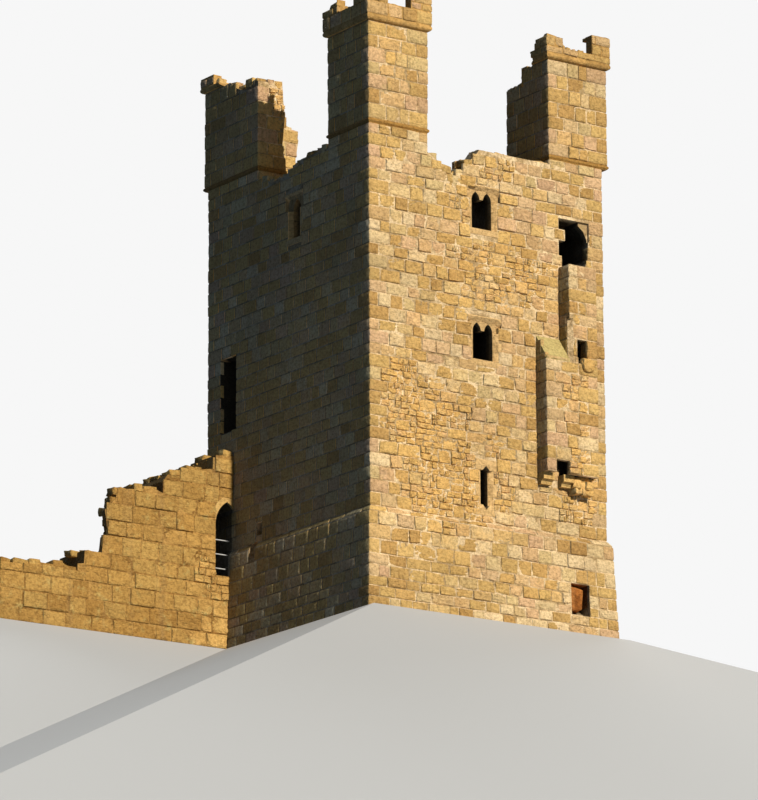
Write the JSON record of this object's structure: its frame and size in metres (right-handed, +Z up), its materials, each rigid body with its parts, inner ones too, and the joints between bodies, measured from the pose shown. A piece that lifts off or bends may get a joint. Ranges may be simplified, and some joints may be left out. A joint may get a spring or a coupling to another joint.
{
  "type": "ruined castle keep with a stub of curtain wall",
  "caption": "Square ruined sandstone keep with three floors, corner turrets, pointed windows, a projecting garderobe shaft and a stub of curtain wall with a pointed doorway.",
  "frame": {"origin": "middle of the keep's plan at the underside of its masonry, 2.5 m below the ground floor", "axes": "+Z up; -Y is the way the sunlit front with the garderobe shaft faces; -X is the side with the curtain wall"},
  "size_m": [18.1, 10.01, 20],
  "materials": {
    "wall_sandstone": "weathered coursed sandstone",
    "dressed_sandstone": "weathered dressed sandstone",
    "floor_timber": "old oak",
    "rail_metal": "dull pale paint"
  },
  "bodies": {
    "root": {"ground_floor": "wall_sandstone", "front_wall_lower": "wall_sandstone", "front_wall_middle": "wall_sandstone", "front_wall_upper": "wall_sandstone", "left_wall_lower": "wall_sandstone", "left_wall_middle": "wall_sandstone", "left_wall_upper": "wall_sandstone", "right_wall_lower": "wall_sandstone", "right_wall_middle": "wall_sandstone", "right_wall_upper": "wall_sandstone", "back_wall_lower_left": "wall_sandstone", "back_wall_lower_right": "wall_sandstone", "back_wall_over_entrance": "wall_sandstone", "back_wall_middle": "wall_sandstone", "walk_doorway_jamb": "wall_sandstone", "walk_doorway_lintel": "wall_sandstone", "back_wall_upper": "wall_sandstone", "first_floor_beams": "floor_timber", "first_floor_boards": "floor_timber", "second_floor_beams": "floor_timber", "second_floor_boards": "floor_timber", "front_parapet": "wall_sandstone", "left_parapet": "wall_sandstone", "back_parapet": "wall_sandstone", "right_parapet": "wall_sandstone", "near_turret": "wall_sandstone", "near_turret_parapet": "wall_sandstone", "right_turret": "wall_sandstone", "right_turret_parapet": "wall_sandstone", "stair_turret": "wall_sandstone", "stair_turret_parapet": "wall_sandstone", "back_turret_stump": "wall_sandstone", "upper_window": "dressed_sandstone", "middle_window": "dressed_sandstone", "slit_window": "dressed_sandstone", "left_lancet": "dressed_sandstone", "right_windows": "dressed_sandstone", "back_windows": "dressed_sandstone", "garderobe_lower_shaft": "wall_sandstone", "garderobe_upper_shaft": "wall_sandstone", "garderobe_cap": "wall_sandstone", "garderobe_corbels": "dressed_sandstone", "curtain_wall": "wall_sandstone", "curtain_wall_low": "wall_sandstone", "curtain_wall_over_doorway": "wall_sandstone", "doorway_arch": "dressed_sandstone", "doorway_rails": "rail_metal"}
  },
  "joints": []
}
